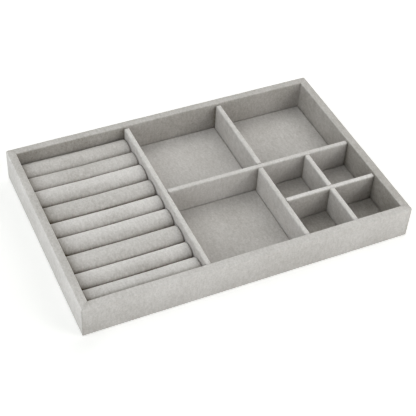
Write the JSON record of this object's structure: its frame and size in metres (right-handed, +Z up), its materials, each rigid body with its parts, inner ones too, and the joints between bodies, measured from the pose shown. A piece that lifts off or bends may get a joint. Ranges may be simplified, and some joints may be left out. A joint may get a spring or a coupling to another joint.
{
  "type": "jewelry tray",
  "caption": "Shallow velvet-lined tray with a ring section of soft rolls, square compartments and a small grid, divided by thin upright strips.",
  "frame": {"origin": "centre of the underside, on the face that the tray rests on", "axes": "+X along the long side, with the ring section at -X; +Y from the front to the back; +Z up"},
  "size_m": [0.35, 0.231, 0.0365],
  "materials": {
    "board": "matte",
    "card": "matte",
    "velvet": "matte",
    "foam": "matte",
    "underside": "matte"
  },
  "bodies": {
    "root": {"front_wall_board": "board", "front_wall_velvet": "velvet", "back_wall_board": "board", "back_wall_velvet": "velvet", "left_wall_board": "board", "left_wall_velvet": "velvet", "right_wall_board": "board", "right_wall_velvet": "velvet", "base_board": "board", "underside_sheet": "underside", "long_divider_board": "board", "long_divider_velvet": "velvet", "cross_divider_board": "board", "cross_divider_velvet": "velvet", "back_divider_board": "board", "back_divider_velvet": "velvet", "front_divider_board": "board", "front_divider_velvet": "velvet", "grid_row_divider_board": "board", "grid_row_divider_velvet": "velvet", "grid_column_divider_board": "board", "grid_column_divider_velvet": "velvet", "back_middle_floor_card": "card", "back_middle_floor_velvet": "velvet", "back_right_floor_card": "card", "back_right_floor_velvet": "velvet", "front_middle_floor_card": "card", "front_middle_floor_velvet": "velvet", "grid_back_left_floor_card": "card", "grid_back_left_floor_velvet": "velvet", "grid_back_right_floor_card": "card", "grid_back_right_floor_velvet": "velvet", "grid_front_left_floor_card": "card", "grid_front_left_floor_velvet": "velvet", "grid_front_right_floor_card": "card", "grid_front_right_floor_velvet": "velvet", "roll_card": "card", "ring_roll_1_foam": "foam", "ring_roll_1_velvet": "velvet", "ring_roll_2_foam": "foam", "ring_roll_2_velvet": "velvet", "ring_roll_3_foam": "foam", "ring_roll_3_velvet": "velvet", "ring_roll_4_foam": "foam", "ring_roll_4_velvet": "velvet", "ring_roll_5_foam": "foam", "ring_roll_5_velvet": "velvet", "ring_roll_6_foam": "foam", "ring_roll_6_velvet": "velvet", "ring_roll_7_foam": "foam", "ring_roll_7_velvet": "velvet", "ring_roll_8_foam": "foam", "ring_roll_8_velvet": "velvet", "ring_roll_9_foam": "foam", "ring_roll_9_velvet": "velvet"}
  },
  "joints": []
}
